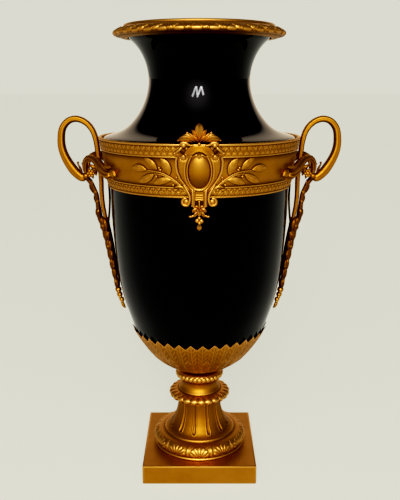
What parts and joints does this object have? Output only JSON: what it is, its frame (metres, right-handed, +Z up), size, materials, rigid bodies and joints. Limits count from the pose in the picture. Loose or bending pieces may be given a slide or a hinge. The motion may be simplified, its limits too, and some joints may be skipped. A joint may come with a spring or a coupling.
{
  "type": "mantel urn",
  "caption": "Tall two-handled mantel urn: a dark glazed porcelain vase in leafy gilt bronze mounts on a square plinth, with an open mouth.",
  "frame": {"origin": "middle of the plinth's flat underside, where the urn rests", "axes": "+Z up along the vase's axis; -Y is the front, with the cartouche; the handles are at +X and -X"},
  "size_m": [0.3112, 0.2278, 0.5057],
  "materials": {
    "gilt_bronze": "satin antique gold, darker in the recesses",
    "porcelain": "very deep blue-black gloss glaze"
  },
  "bodies": {
    "root": {"plinth": "gilt_bronze", "foot": "gilt_bronze", "knop": "gilt_bronze", "calyx": "gilt_bronze", "vase_body": "porcelain", "rim_mount": "gilt_bronze", "belt": "gilt_bronze", "cartouche": "gilt_bronze", "back_medallion": "gilt_bronze", "handle_right": "gilt_bronze", "handle_left": "gilt_bronze"}
  },
  "joints": []
}
